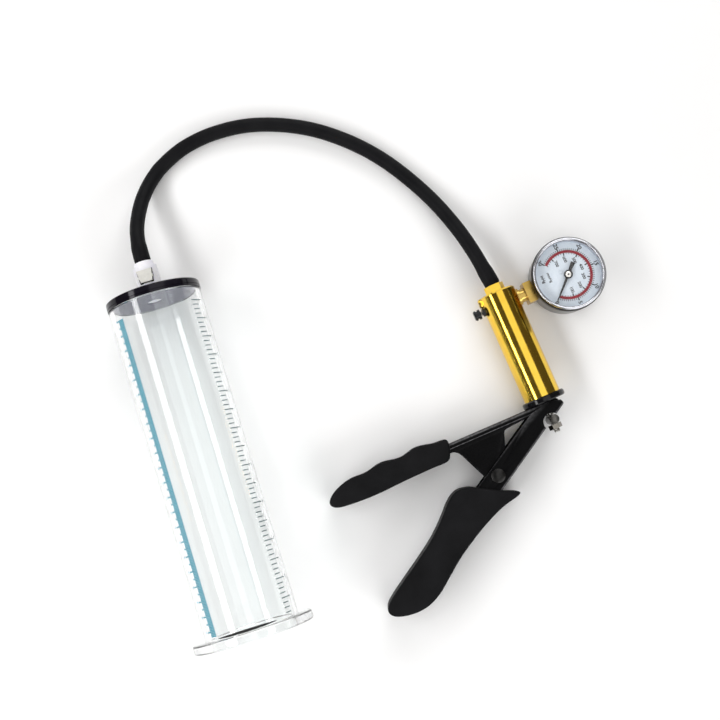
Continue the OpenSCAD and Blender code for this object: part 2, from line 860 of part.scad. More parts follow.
// The needle points at zero, towards the lower left of the pump
module gauge_needle() {
    color("black") in_gauge() rotate([0, 0, -135]) difference() {
        union() {
            translate([0, 0, needle_z - 0.3]) cylinder(h = 1.5, r = 2.4);
            translate([0, 0, needle_z]) linear_extrude(0.5)
                polygon([[-9, -1.5], [-9, 1.5], [0, 0.9], [14, 0.6], [20.6, 0.1],
                    [20.6, -0.1], [14, -0.6], [0, -0.9]]);
        }
        translate([0, 0, 5]) cylinder(h = 8.2, r = 0.62);
    }
}

module gauge_pinion() {
    pitch_r = tooth_module * pinion_teeth / 2;
    step = 360 / pinion_teeth;
    color("goldenrod") in_gauge() {
        translate([0, 0, 4.3]) linear_extrude(1.7)
            polygon([for (k = [0:pinion_teeth - 1]) each
                tooth(pitch_r - dedendum, pitch_r + addendum, k * step - 90)]);
        translate([0, 0, plate_z + 0.1]) cylinder(h = 10.4, r = arbor_r);
    }
}

// A flat spiral round the needle's shaft
module gauge_hairspring() {
    turns = 3;
    per_turn = 24;
    from_r = 0.8;
    growth = 0.75;
    strip = 0.12;
    color("silver") in_gauge() translate([0, 0, 6.5]) linear_extrude(0.6)
        polygon([for (i = [0:turns * per_turn])
                polar(from_r + growth * i / per_turn, 360 * i / per_turn),
            for (i = [turns * per_turn:-1:0])
                polar(from_r + strip + growth * i / per_turn, 360 * i / per_turn)]);
}

module gauge_sector() {
    pitch_r = tooth_module * sector_teeth / 2;
    step = 360 / sector_teeth;
    root_r = pitch_r - dedendum;
    sector_t = 1.2;
    color("goldenrod") in_gauge() translate([0, sector_pivot_y, 0]) {
        translate([0, 0, 4.5]) linear_extrude(sector_t) difference() {
            union() {
                polygon([[0, 0], each [for (k = [-2:8]) each
                    tooth(root_r, pitch_r + addendum, 90 + (k + 0.5) * step)]]);
                circle(r = 2);
                polygon([[0, -1.2], [0, 1.2], [-4.6, 0.6], [-4.6, -1.4]]);
            }
            circle(r = 0.5);
        }
        translate([0, 0, plate_z + 0.1]) cylinder(h = 6, r = sector_shaft_r);
    }
}

module bourdon_link() {
    color("silver") in_gauge() translate([-4, sector_pivot_y - 0.4, 3.7]) difference() {
        linear_extrude(0.6) polygon([[-0.7, 0.7], [0.7, 0.7], [0.1, -4.2], [-1.3, -4.2]]);
        translate([-0.5, -3.4, -1]) cylinder(h = 3, r = 0.3);
    }
}

module bourdon_tube() {
    color("goldenrod") in_gauge() rotate([0, 0, -105])
        rotate_extrude(angle = 267) translate([17, -3]) square([2, 6]);
}

module movement_plates() {
    plate = [10, 20.6];
    plate_low_y = -15.6;
    bracket = [17, 8];
    posts = [[4, 3.5], [-4, 3.5], [4, -14.8]];
    color("goldenrod") in_gauge() difference() {
        union() {
            for (z = [plate_z, plate_z + plate_gap])
                translate([-plate.x / 2, plate_low_y, z]) cube([plate.x, plate.y, plate_t]);
            translate([-4 - bracket.x, -bracket.y / 2, plate_z])
                cube([bracket.x, bracket.y, plate_t]);
            for (p = posts) translate([p.x, p.y, plate_z + 0.2])
                cylinder(h = plate_gap + 0.6, r = 0.9, $fn = 24);
        }
        translate([0, 0, 2]) cylinder(h = 8, r = arbor_r + running_fit);
        translate([0, sector_pivot_y, 2]) cylinder(h = 8, r = sector_shaft_r + running_fit);
    }
}

module case_screws() {
    color("silver") in_gauge() for (y = [-case_screw_y, case_screw_y])
        translate([case_screw_x - gauge_x, y, 0]) {
            translate([0, 0, case_back - 0.1]) cylinder(h = 6, r = case_screw_r - fixed_fit);
            translate([0, 0, case_back]) rotate([180, 0, 0]) button_head(2, 1, 0.3);
        }
}

// ---- the object ----

cylinder_tube();
cylinder_flange();
cylinder_cap();
cap_gasket();
coupling_body();
coupling_latch();
latch_spring();
coupling_valve();
coupling_valve_spring();
hose_insert();
coupling_seal();
hose();
hose_fitting();
pump_head();
inlet_valve();
valve_retainer();
check_valve_plug();
release_valve_body();
release_button();
release_spring();
barrel();
barrel_seal();
piston();
piston_seal();
piston_rod();
return_spring();
end_cap();
end_cap_screws();
handle_frame();
finger_grip();
palm_lever();
palm_grip();
pivot_rivet();
pivot_spacer();
trunnion();
rod_nut();
gauge_socket();
gauge_case();
gauge_bezel();
gauge_lens();
lens_gasket();
gauge_dial();
dial_screws();
gauge_needle();
gauge_pinion();
gauge_hairspring();
gauge_sector();
bourdon_link();
bourdon_tube();
movement_plates();
case_screws();
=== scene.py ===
import json
import math

import bmesh
import bpy
from mathutils import Matrix, Vector


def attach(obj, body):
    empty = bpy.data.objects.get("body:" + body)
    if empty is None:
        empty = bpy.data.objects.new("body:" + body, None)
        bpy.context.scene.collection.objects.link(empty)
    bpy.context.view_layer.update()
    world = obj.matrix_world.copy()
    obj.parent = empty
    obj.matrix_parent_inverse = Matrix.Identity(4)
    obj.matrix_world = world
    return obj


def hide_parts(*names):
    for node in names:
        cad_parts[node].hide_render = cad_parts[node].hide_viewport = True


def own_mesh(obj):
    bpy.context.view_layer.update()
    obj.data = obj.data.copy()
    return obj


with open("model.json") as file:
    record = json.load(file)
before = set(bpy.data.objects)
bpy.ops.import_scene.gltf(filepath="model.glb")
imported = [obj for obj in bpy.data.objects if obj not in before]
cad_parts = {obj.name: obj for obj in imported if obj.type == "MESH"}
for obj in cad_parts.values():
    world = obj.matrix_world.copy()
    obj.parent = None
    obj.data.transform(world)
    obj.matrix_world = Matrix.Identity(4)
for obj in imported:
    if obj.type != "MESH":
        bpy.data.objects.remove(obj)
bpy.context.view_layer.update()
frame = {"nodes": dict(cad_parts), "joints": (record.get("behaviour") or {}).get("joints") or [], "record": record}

# Looks of a hand vacuum pump with a dial gauge, a hose and a clear graduated cylinder.
# Everything is in metres in the row frame. MM turns the design's millimetres into metres.

MM = 0.001


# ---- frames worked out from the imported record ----

def turned(origin, x_axis, y_axis):
    """The matrix of a frame with that origin and those X and Y directions."""
    x, y = Vector(x_axis).normalized(), Vector(y_axis).normalized()
    rotation = Matrix((x, y, x.cross(y))).transposed()
    return Matrix.Translation(Vector(origin)) @ rotation.to_4x4()


JOINTS = {j["name"]: j for j in frame["joints"]}
MOUNTS = {m["name"]: m for m in frame["record"]["mounts"]}

MOUTH = MOUNTS["cylinder_mouth"]
TUBE_LENGTH = MOUTH["dims"]["length_mm"] * MM
BORE_R = MOUTH["dims"]["r_mm"] * MM
CAP_FACE = Vector(MOUTH["pos_m"]) - Vector(MOUTH["axis"]) * TUBE_LENGTH
# Cylinder frame: the origin is the middle of the cap's inner face, and +Y points out of the cap
CYLINDER = turned(CAP_FACE, (1, 0, 0), -Vector(MOUTH["axis"]))

DIAL_AT = Vector(JOINTS["needle_turn"]["pos_m"])
SIDEWAYS = Vector(JOINTS["release_press"]["axis"])
BACKWARDS = -Vector(JOINTS["piston_slide"]["axis"])
# Gauge frame: the origin is on the dial's axis at the height of the stem
GAUGE = turned(DIAL_AT, SIDEWAYS, BACKWARDS)
# Pump frame: the origin is the middle of the head's top face, and -Y points down the barrel
DIAL_X = 47.9 * MM
DIAL_REACH = 9.2 * MM
PUMP = turned(DIAL_AT - SIDEWAYS * DIAL_X + BACKWARDS * DIAL_REACH, SIDEWAYS, BACKWARDS)

OUTWARD = Matrix.Rotation(math.radians(-90), 4, "X")
DOWN_BARREL = Matrix.Rotation(math.radians(90), 4, "X")


# ---- camera and hose, which come first ----

def make_camera():
    """A camera almost straight above the object, turned a little about the vertical."""
    data = bpy.data.cameras.new("camera")
    data.lens = 62.95
    data.sensor_width = 36
    camera = bpy.data.objects.new("camera", data)
    camera.location = (-0.02087, -0.03094, 0.8743)
    camera.rotation_euler = (0.078, 0.009, math.radians(-17.48))
    bpy.context.scene.collection.objects.link(camera)
    bpy.context.scene.camera = camera


HOSE_ROUTE = [
    (-0.1284, 0.1412, 0.0313), (-0.1283, 0.150, 0.0306), (-0.1278, 0.158, 0.0284),
    (-0.1264, 0.167, 0.0244), (-0.1235, 0.1765, 0.0192), (-0.119, 0.1865, 0.014),
    (-0.113, 0.1955, 0.0096), (-0.1065, 0.2025, 0.0068), (-0.099, 0.2082, 0.0054),
    (-0.084, 0.2152, 0.005), (-0.068, 0.2188, 0.005), (-0.052, 0.2196, 0.005),
    (-0.036, 0.2182, 0.005), (-0.020, 0.2142, 0.005), (-0.004, 0.208, 0.005),
    (0.011, 0.200, 0.005), (0.025, 0.190, 0.005), (0.0375, 0.179, 0.005),
    (0.049, 0.1665, 0.005), (0.059, 0.153, 0.0051), (0.068, 0.1385, 0.0056),
    (0.075, 0.125, 0.0068), (0.080, 0.113, 0.0088), (0.084, 0.1015, 0.0114),
    (0.087, 0.091, 0.0135), (0.0896, 0.0805, 0.0148), (0.0918, 0.070, 0.015),
    (0.0946, 0.0571, 0.015)]
HOSE_R = 5 * MM


def curve_point(a, b, c, d, t):
    """A point on the smooth curve between b and c, with a and d before and after."""
    return (2 * b + (c - a) * t + (2 * a - 5 * b + 4 * c - d) * t ** 2
            + (3 * b - a - 3 * c + d) * t ** 3) / 2


def open_curve(corners, steps):
    """A smooth curve through the corners."""
    p = [Vector(c) for c in corners]
    last = len(p) - 1
    points = [curve_point(p[max(i - 1, 0)], p[i], p[i + 1], p[min(i + 2, last)], k / steps)
              for i in range(last) for k in range(steps)]
    return points + [p[last]]


def closed_curve(corners, steps):
    """A smooth closed curve through the corners."""
    p = [Vector(c) for c in corners]
    n = len(p)
    return [curve_point(p[i - 1], p[i], p[(i + 1) % n], p[(i + 2) % n], k / steps)
            for i in range(n) for k in range(steps)]


# ---- mesh building ----

SMOOTH_UNDER = math.radians(35)


def finish_mesh(name, bm, matrix=None):
    """A named object from a bmesh, with its sharper edges kept crisp."""
    bmesh.ops.recalc_face_normals(bm, faces=bm.faces)
    mesh = bpy.data.meshes.new(name)
    bm.to_mesh(mesh)
    bm.free()
    if matrix is not None:
        mesh.transform(matrix)
    mesh.shade_smooth()
    mesh.set_sharp_from_angle(angle=SMOOTH_UNDER)
    obj = bpy.data.objects.new(name, mesh)
    bpy.context.scene.collection.objects.link(obj)
    return obj


def add_ring_rows(bm, rows):
    """Quads between rows of vertices, where each row is a closed ring."""
    for a, b in zip(rows, rows[1:]):
        for k in range(len(a)):
            k2 = (k + 1) % len(a)
            bm.faces.new((a[k], a[k2], b[k2], b[k]))


def add_lathe(bm, profile, steps):
    """Turns a closed profile of (radius, height) corners round Z."""
    rows = []
    for r, z in profile:
        if r < 1e-7:
            rows.append(bm.verts.new((0, 0, z)))
            continue
        rows.append([bm.verts.new((r * math.cos(a), r * math.sin(a), z))
                     for a in (2 * math.pi * k / steps for k in range(steps))])
    for a, b in zip(rows, rows[1:] + rows[:1]):
        a_point, b_point = isinstance(a, bmesh.types.BMVert), isinstance(b, bmesh.types.BMVert)
        if a_point and b_point:
            continue
        for k in range(steps):
            k2 = (k + 1) % steps
            if a_point:
                bm.faces.new((a, b[k2], b[k]))
            elif b_point:
                bm.faces.new((a[k], a[k2], b))
            else:
                bm.faces.new((a[k], a[k2], b[k2], b[k]))


def arc(centre, radius, start, end, steps):
    """Points on an arc of (radius, height), with angles in degrees."""
    return [(centre[0] + radius * math.cos(math.radians(start + (end - start) * k / steps)),
             centre[1] + radius * math.sin(math.radians(start + (end - start) * k / steps)))
            for k in range(steps + 1)]


def lathe(name, profile_mm, matrix, steps=96):
    """A turned piece from a closed profile in millimetres."""
    bm = bmesh.new()
    add_lathe(bm, [(r * MM, z * MM) for r, z in profile_mm], steps)
    return finish_mesh(name, bm, matrix)


def tube_along(name, path, radii, sides):
    """A round bar that follows a path, with a radius at each of its points."""
    bm = bmesh.new()
    rows = []
    last = len(path) - 1
    for i, point in enumerate(path):
        along = (path[min(i + 1, last)] - path[max(i - 1, 0)]).normalized()
        side = along.cross(Vector((0, 0, 1))).normalized()
        up = side.cross(along)
        rows.append([bm.verts.new(point + radii[i] * (math.cos(a) * side + math.sin(a) * up))
                     for a in (2 * math.pi * k / sides for k in range(sides))])
    add_ring_rows(bm, rows)
    bm.faces.new(rows[0])
    bm.faces.new(rows[-1])
    return finish_mesh(name, bm)


def box_into(bm, low, high, cuts=1):
    """Adds a box to bm, cut across X into that many lengths."""
    xs = [low[0] + (high[0] - low[0]) * k / cuts for k in range(cuts + 1)]
    rows = [[bm.verts.new((x, y, z)) for y, z in
             ((low[1], low[2]), (high[1], low[2]), (high[1], high[2]), (low[1], high[2]))]
            for x in xs]
    add_ring_rows(bm, rows)
    bm.faces.new(rows[0])
    bm.faces.new(rows[-1])


def text_into(bm, words, size, thickness, matrix, bold=0.0):
    """Adds flat lettering to bm, centred on the matrix's origin."""
    curve = bpy.data.curves.new("lettering", "FONT")
    curve.body = words
    curve.size = size
    curve.align_x = "CENTER"
    curve.align_y = "CENTER"
    curve.extrude = thickness / 2
    curve.offset = bold * size
    curve.resolution_u = 3
    holder = bpy.data.objects.new("lettering", curve)
    bpy.context.scene.collection.objects.link(holder)
    bpy.context.view_layer.update()
    mesh = bpy.data.meshes.new_from_object(holder)
    mesh.transform(matrix)
    bm.from_mesh(mesh)
    bpy.data.objects.remove(holder)
    bpy.data.meshes.remove(mesh)
    bpy.data.curves.remove(curve)


# ---- materials ----

class Look:
    """Builds one procedural material, node by node."""

    def __init__(self, name, roughness=0.5, metallic=0.0):
        self.material = bpy.data.materials.new(name)
        self.material.use_nodes = True
        self.tree = self.material.node_tree
        self.tree.nodes.clear()
        self.output = self.node("OutputMaterial")
        self.shader = self.node("BsdfPrincipled")
        self.link(self.shader, "BSDF", self.output, "Surface")
        self.shader.inputs["Roughness"].default_value = roughness
        self.shader.inputs["Metallic"].default_value = metallic
        self.where = self.node("TexCoord")

    def node(self, kind, **settings):
        made = self.tree.nodes.new("ShaderNode" + kind)
        for key, value in settings.items():
            setattr(made, key, value)
        return made

    def link(self, a, a_socket, b, b_socket):
        self.tree.links.new(a.outputs[a_socket], b.inputs[b_socket])

    def set(self, **values):
        for key, value in values.items():
            self.shader.inputs[key.replace("_", " ")].default_value = value

    def coordinates(self, stretch=(1, 1, 1), turn=0.0):
        """Object coordinates in metres, turned about Z and then stretched."""
        turned_node = self.node("Mapping", vector_type="POINT")
        turned_node.inputs["Rotation"].default_value = (0, 0, turn)
        self.link(self.where, "Object", turned_node, "Vector")
        scaled = self.node("Mapping", vector_type="POINT")
        scaled.inputs["Scale"].default_value = stretch
        self.link(turned_node, "Vector", scaled, "Vector")
        return scaled

    def noise(self, scale, detail=3.0, stretch=(1, 1, 1), turn=0.0, roughness=0.5):
        made = self.node("TexNoise")
        made.inputs["Scale"].default_value = scale
        made.inputs["Detail"].default_value = detail
        made.inputs["Roughness"].default_value = roughness
        self.link(self.coordinates(stretch, turn), "Vector", made, "Vector")
        return made

    def ramp(self, source, socket, low, high, low_at=0.3, high_at=0.7):
        """Maps a grey value to between two colours or two numbers."""
        made = self.node("ValToRGB")
        stops = made.color_ramp.elements
        stops[0].position, stops[1].position = low_at, high_at
        for stop, value in ((stops[0], low), (stops[1], high)):
            grey = not hasattr(value, "__len__")
            stop.color = (value, value, value, 1) if grey else (*value, 1)
        self.link(source, socket, made, "Fac")
        return made

    def colour(self, low, high, scale, **options):
        made = self.ramp(self.noise(scale, **options), "Fac", low, high)
        self.link(made, "Color", self.shader, "Base Color")

    def roughness(self, low, high, scale, **options):
        made = self.ramp(self.noise(scale, **options), "Fac", low, high)
        self.link(made, "Color", self.shader, "Roughness")

    def bump(self, layers, strength=1.0):
        """Raises the surface by the sum of (height in metres, scale, options) noises."""
        previous = None
        for height, scale, options in layers:
            made = self.node("Bump")
            made.inputs["Strength"].default_value = strength
            made.inputs["Distance"].default_value = height
            self.link(self.noise(scale, **options), "Fac", made, "Height")
            if previous is not None:
                self.link(previous, "Normal", made, "Normal")
            previous = made
        self.link(previous, "Normal", self.shader, "Normal")


PUMP_TURN = -math.atan2(SIDEWAYS.y, SIDEWAYS.x)
ROUND_BARREL = {"turn": PUMP_TURN, "stretch": (0.06, 1, 0.06)}


def brass(name, low, high, rough_low, rough_high):
    """Polished brass, with fine turning marks round the barrel."""
    look = Look(name, metallic=1.0)
    look.colour(low, high, 90, detail=4)
    look.roughness(rough_low, rough_high, 240, detail=5, **ROUND_BARREL)
    look.bump([(0.000003, 900, dict(detail=4, **ROUND_BARREL))], 0.4)
    return look.material


def steel(name, low, high, rough_low, rough_high):
    """Bare or plated metal, with a fine grain."""
    look = Look(name, metallic=1.0)
    look.colour(low, high, 300, detail=4)
    look.roughness(rough_low, rough_high, 700, detail=5)
    look.bump([(0.00001, 1500, {"detail": 3})], 0.5)
    return look.material


def painted_black_steel():
    """Black oxide and lacquer with fine orange peel, and a painted highlight: paler in patches on the rounded
    corners and edges that lean away from facing up.
    """
    look = Look("black_steel", metallic=0.0)
    base = look.ramp(look.noise(70, detail=5), "Fac", (0.0015, 0.0015, 0.0017), (0.003, 0.003, 0.0034))
    # Painted highlight: the colour turns paler where the normal leans about 10 to 60 degrees from straight up, on
    # the rounded corners and broken edges, broken into patches by noise.
    facing = look.node("SeparateXYZ")
    look.link(look.where, "Normal", facing, "Vector")
    upward = look.node("Math", operation="ABSOLUTE")
    look.link(facing, "Z", upward, 0)
    highlight_band = look.node("Math", operation="MULTIPLY")
    look.link(look.ramp(upward, "Value", 1.0, 0.0, 0.90, 0.985), "Color", highlight_band, 0)
    look.link(look.ramp(upward, "Value", 0.0, 1.0, 0.45, 0.65), "Color", highlight_band, 1)
    patchy_highlight = look.node("Math", operation="MULTIPLY")
    look.link(highlight_band, "Value", patchy_highlight, 0)
    look.link(look.ramp(look.noise(400, detail=4), "Fac", 0.45, 1.0, 0.4, 0.65), "Color", patchy_highlight, 1)
    mixed = look.node("Mix", data_type="RGBA")
    # the colour of the painted highlight
    mixed.inputs[7].default_value = (0.14, 0.14, 0.145, 1)
    look.tree.links.new(patchy_highlight.outputs[0], mixed.inputs[0])
    look.tree.links.new(base.outputs["Color"], mixed.inputs[6])
    look.tree.links.new(mixed.outputs[2], look.shader.inputs["Base Color"])
    look.roughness(0.22, 0.36, 500, detail=4)
    look.bump([(0.000006, 1300, {"detail": 3}), (0.00001, 220, {"detail": 2})], 0.5)
    look.set(Specular_IOR_Level=0.05)
    return look.material


def rubber(name, low, high, rough_low, rough_high, grain):
    """Dull rubber, whose grain is that many metres high."""
    look = Look(name)
    look.colour(low, high, 60, detail=4)
    look.roughness(rough_low, rough_high, 420, detail=5)
    look.bump([(grain, 2600, {"detail": 3}), (grain * 2, 500, {"detail": 3})], 0.6)
    look.set(Specular_IOR_Level=0.08, Sheen_Weight=0.01, Sheen_Roughness=0.6)
    return look.material


def gloss_plastic(name, low, high, rough_low, rough_high, coat=0.25, tint=(1, 1, 1, 1)):
    """Smooth plastic under a thin clear coat."""
    look = Look(name)
    look.colour(low, high, 80, detail=4)
    look.roughness(rough_low, rough_high, 350, detail=5)
    look.bump([(0.00001, 600, {"detail": 2})], 0.5)
    look.set(Specular_IOR_Level=0.2, Specular_Tint=tint, Coat_Weight=coat, Coat_Roughness=0.05)
    return look.material


def acetal():
    """Milky moulded plastic that light scatters in, faintly lavender."""
    look = Look("acetal")
    look.colour((0.86, 0.85, 0.94), (0.94, 0.93, 0.99), 120, detail=3)
    look.roughness(0.25, 0.42, 600, detail=4)
    look.bump([(0.000015, 1200, {"detail": 3})], 0.5)
    look.set(Subsurface_Weight=0.35, Subsurface_Radius=(0.002, 0.002, 0.0025))
    look.set(Subsurface_Scale=1.0, IOR=1.48)
    return look.material


def clear(name, tint, ior, roughness):
    """Clear plastic or glass that lets lamps through to what is behind it."""
    look = Look(name, roughness=roughness)
    smudge = look.ramp(look.noise(35, detail=6, roughness=0.6), "Fac", roughness, roughness * 2.5, 0.4, 0.75)
    look.link(smudge, "Color", look.shader, "Roughness")
    look.colour(tint, tuple(min(1.0, c * 1.01) for c in tint), 25, detail=2)
    look.bump([(0.00001, 30, {"detail": 2})], 0.3)
    look.set(Transmission_Weight=1.0, IOR=ior)
    rays = look.node("LightPath")
    through = look.node("BsdfTransparent")
    through.inputs["Color"].default_value = (*tint, 1)
    source = look.shader
    for ray in ("Is Diffuse Ray", "Is Shadow Ray"):
        mixed = look.node("MixShader")
        look.link(rays, ray, mixed, 0)
        look.link(source, 0, mixed, 1)
        look.link(through, "BSDF", mixed, 2)
        source = mixed
    look.link(source, 0, look.output, "Surface")
    return look.material


def ink(name, low, high):
    """Flat print, a little uneven in tone."""
    look = Look(name)
    look.colour(low, high, 400, detail=4)
    look.roughness(0.4, 0.6, 900, detail=3)
    look.bump([(0.000006, 2500, {"detail": 2})], 0.5)
    return look.material


MATERIALS = {
    "brass": brass("brass", (0.86, 0.55, 0.06), (0.95, 0.64, 0.09), 0.10, 0.16),
    "brass_satin": brass("brass_satin", (0.48, 0.32, 0.08), (0.62, 0.42, 0.12), 0.24, 0.38),
    "steel": steel("steel", (0.52, 0.51, 0.49), (0.68, 0.67, 0.64), 0.18, 0.34),
    "dark_steel": steel("dark_steel", (0.020, 0.020, 0.020), (0.042, 0.041, 0.040), 0.26, 0.40),
    "pin_steel": steel("pin_steel", (0.08, 0.077, 0.072), (0.15, 0.144, 0.134), 0.22, 0.36),
    "worn_steel": steel("worn_steel", (0.16, 0.15, 0.13), (0.30, 0.28, 0.25), 0.16, 0.30),
    "latch_steel": steel("latch_steel", (0.78, 0.77, 0.73), (0.86, 0.85, 0.80), 0.50, 0.62),
    "hub_steel": steel("hub_steel", (0.66, 0.64, 0.60), (0.78, 0.76, 0.72), 0.35, 0.5),
    "gauge_steel": steel("gauge_steel", (0.26, 0.26, 0.265), (0.285, 0.285, 0.29), 0.30, 0.36),
    "chrome": steel("chrome", (0.52, 0.53, 0.56), (0.62, 0.63, 0.67), 0.05, 0.12),
    "black_steel": painted_black_steel(),
    "grip_rubber": rubber("grip_rubber", (0.004, 0.004, 0.0045), (0.008, 0.008, 0.009), 0.48, 0.66, 0.00002),
    "hose_rubber": rubber("hose_rubber", (0.004, 0.004, 0.005), (0.008, 0.008, 0.009), 0.42, 0.58, 0.00001),
    "black_rubber": rubber("black_rubber", (0.012, 0.012, 0.012), (0.03, 0.03, 0.03), 0.5, 0.7, 0.00002),
    "black_gloss": gloss_plastic("black_gloss", (0.005, 0.004, 0.007), (0.009, 0.008, 0.013), 0.06, 0.14,
                                 0.06, (0.97, 0.95, 1.0, 1)),
    "black_shiny": gloss_plastic("black_shiny", (0.003, 0.003, 0.004), (0.006, 0.006, 0.007), 0.06, 0.12,
                                 0.2),
    # paler than the black cap: painted reflection on the cap's inner face
    "cap_face_painted_reflection": gloss_plastic("cap_face_painted_reflection", (0.09, 0.09, 0.14), (0.11, 0.11, 0.16), 0.08, 0.16, 0.06),
    "black_plastic": gloss_plastic("black_plastic", (0.003, 0.003, 0.004), (0.006, 0.006, 0.007), 0.14, 0.28),
    "nylon": gloss_plastic("nylon", (0.70, 0.68, 0.62), (0.80, 0.78, 0.72), 0.4, 0.6, 0.0),
    "acetal": acetal(),
    "clear_acrylic": clear("clear_acrylic", (0.970, 0.980, 0.980), 1.49, 0.012),
    "lens": clear("lens", (0.99, 0.993, 1.0), 1.15, 0.01),
    "ring_grey": ink("ring_grey", (0.40, 0.45, 0.52), (0.48, 0.53, 0.60)),
    "dial_white": ink("dial_white", (0.62, 0.68, 0.74), (0.68, 0.74, 0.79)),
    "needle_black": ink("needle_black", (0.008, 0.008, 0.008), (0.02, 0.02, 0.02)),
}
INKS = {
    "inch_ink": ink("inch_ink", (0.008, 0.05, 0.055), (0.02, 0.09, 0.095)),
    "metric_ink": ink("metric_ink", (0.01, 0.24, 0.35), (0.03, 0.32, 0.43)),
    "dial_black": ink("dial_black", (0.01, 0.01, 0.012), (0.03, 0.03, 0.035)),
    "dial_red": ink("dial_red", (0.22, 0.006, 0.016), (0.31, 0.016, 0.026)),
}


def paint(obj, material):
    """Gives the object that material alone."""
    obj.data.materials.clear()
    obj.data.materials.append(material)
    return obj


# CAD nodes that look other than their material slot says
SPECIAL_LOOKS = {"end_cap": "black_shiny", "coupling_latch": "latch_steel", "gauge_pinion": "dark_steel",
                 "dial_screws": "dial_white", "gauge_socket": "brass_satin", "rod_nut": "worn_steel",
                 "lens_gasket": "gauge_steel"}
# Widths in millimetres of the bevel on CAD nodes' sharp edges
BROKEN_EDGES = {"pump_head": 0.2, "barrel": 0.2, "coupling_latch": 0.2, "rod_nut": 0.35,
                "gauge_socket": 0.5, "hose_fitting": 0.4, "coupling_body": 0.4, "release_button": 0.2}


def dress_cad_nodes():
    """Every CAD node takes the look of its material slot in the record, and some lose their sharp edges."""
    for part in frame["record"]["subparts"]:
        node = frame["nodes"][part["node"]]
        look = MATERIALS[SPECIAL_LOOKS.get(part["node"], part["material_slot"])]
        if not node.material_slots:
            node.data.materials.append(look)
        for slot in node.material_slots:
            slot.material = look
        if part["node"] in BROKEN_EDGES:
            bevel = node.modifiers.new("broken_edges", "BEVEL")
            bevel.width = BROKEN_EDGES[part["node"]] * MM
            bevel.segments = 2
            bevel.limit_method = "ANGLE"
            bevel.angle_limit = math.radians(40)
            bevel.harden_normals = True


# ---- hose ----

def make_hose():
    """The hose along its route, a little wider where it is stretched over its barbed tails."""
    steps = 6
    path = open_curve(HOSE_ROUTE, steps)
    lengths = [0.0]
    for a, b in zip(path, path[1:]):
        lengths.append(lengths[-1] + (b - a).length)
    total = lengths[-1]
    stretch, stretched_for = 0.55 * MM, 13 * MM
    lip = 0.5 * MM

    def radius(s):
        from_end = min(s, total - s)
        swell = stretch * (0.5 - 0.5 * math.tanh((from_end - stretched_for) / (2.2 * MM)))
        rounded = lip * max(0.0, 1 - from_end / lip) ** 2
        return HOSE_R + swell - rounded

    hose = tube_along("hose_tube", path, [radius(s) for s in lengths], 32)
    paint(hose, MATERIALS["hose_rubber"])
    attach(hose, "pump")
    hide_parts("hose")


# ---- clear cylinder with its printed scales ----

TUBE_R = 31.75
FLANGE_R = 40.5
FLANGE_T = 6.0


def make_clear_cylinder():
    """The tube and its bonded flange, made as one clear body of revolution."""
    length, bore = TUBE_LENGTH / MM, BORE_R / MM
    lip = 1.3
    fillet = 0.8
    flange_top = length - FLANGE_T
    profile = [(bore + 0.3, 0.02), (TUBE_R - 0.3, 0.02), (TUBE_R, 0.32)]
    profile += [(TUBE_R, flange_top - fillet - step) for step in (180, 120, 60, 0)]
    profile += arc((TUBE_R + fillet, flange_top - fillet), fillet, 180, 90, 4)[1:]
    profile += arc((FLANGE_R - lip, flange_top + lip), lip, -90, 0, 10)
    profile += arc((FLANGE_R - lip, length - lip), lip, 0, 90, 10)
    profile += arc((bore + 0.8, length - 0.8), 0.8, 90, 180, 4)
    profile += [(bore, length - 60), (bore, length - 120), (bore, length - 180), (bore, 0.32)]
    cylinder = lathe("clear_cylinder", profile, CYLINDER @ DOWN_BARREL, steps=192)
    paint(cylinder, MATERIALS["clear_acrylic"])
    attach(cylinder, "pump")
    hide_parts("cylinder_tube", "cylinder_flange")


INK_DEEP = 0.03 * MM
INK_PROUD = 0.05 * MM
INK_MIDDLE = (INK_PROUD - INK_DEEP) / 2
SCALES_FROM = 10 * MM


def tick_into(bm, start, end, at, width):
    """Adds a tick across the tube, from start to end round it, at that distance down it."""
    cuts = max(1, math.ceil(abs(end - start) / (0.8 * MM)))
    low = (min(start, end), -at - width / 2, -INK_DEEP)
    high = (max(start, end), -at + width / 2, INK_PROUD)
    box_into(bm, low, high, cuts)


def wrapped(name, bm, centre_angle, ink_name):
    """Wraps a flat print round the tube. Its X runs round the tube, to the right seen from above."""
    r = TUBE_R * MM
    for v in bm.verts:
        a = centre_angle + v.co.x / r
        reach = r + v.co.z
        v.co = (reach * math.sin(a), v.co.y, reach * math.cos(a))
    piece = finish_mesh(name, bm, CYLINDER)
    paint(piece, INKS[ink_name])
    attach(piece, "pump")


def make_inch_scale():
    """Eighths of an inch down the right side, with a number at each inch."""
    inch = 25.4 * MM
    bm = bmesh.new()
    for k in range(68):
        at = SCALES_FROM + k * inch / 8
        reach = 6.0 if k % 4 else 10.8
        tick_into(bm, 0, reach * MM, at, 0.6 * MM)
    for number in range(1, 9):
        at = SCALES_FROM + (number - 0.5) * inch
        spot = Matrix.Translation((12.8 * MM, -at, INK_MIDDLE))
        text_into(bm, str(number), 3.2 * MM, INK_PROUD + INK_DEEP, spot)
    wrapped("inch_scale", bm, math.radians(54.6), "inch_ink")


def make_metric_scale():
    """Millimetres down the left side, with a number at each centimetre."""
    bm = bmesh.new()
    for k in range(214):
        reach = 5.0
        if k % 5 == 0:
            reach = 6.8
        if k % 10 == 0:
            reach = 8.2
        tick_into(bm, 0, -reach * MM, SCALES_FROM + k * MM, 0.84 * MM)
    for number in range(1, 22):
        at = SCALES_FROM + number * 10 * MM
        spot = Matrix.Translation((-10.2 * MM, -at, INK_MIDDLE))
        text_into(bm, str(number), 2.2 * MM, INK_PROUD + INK_DEEP, spot)
    wrapped("metric_scale", bm, -math.radians(39.2), "metric_ink")


# ---- grips ----

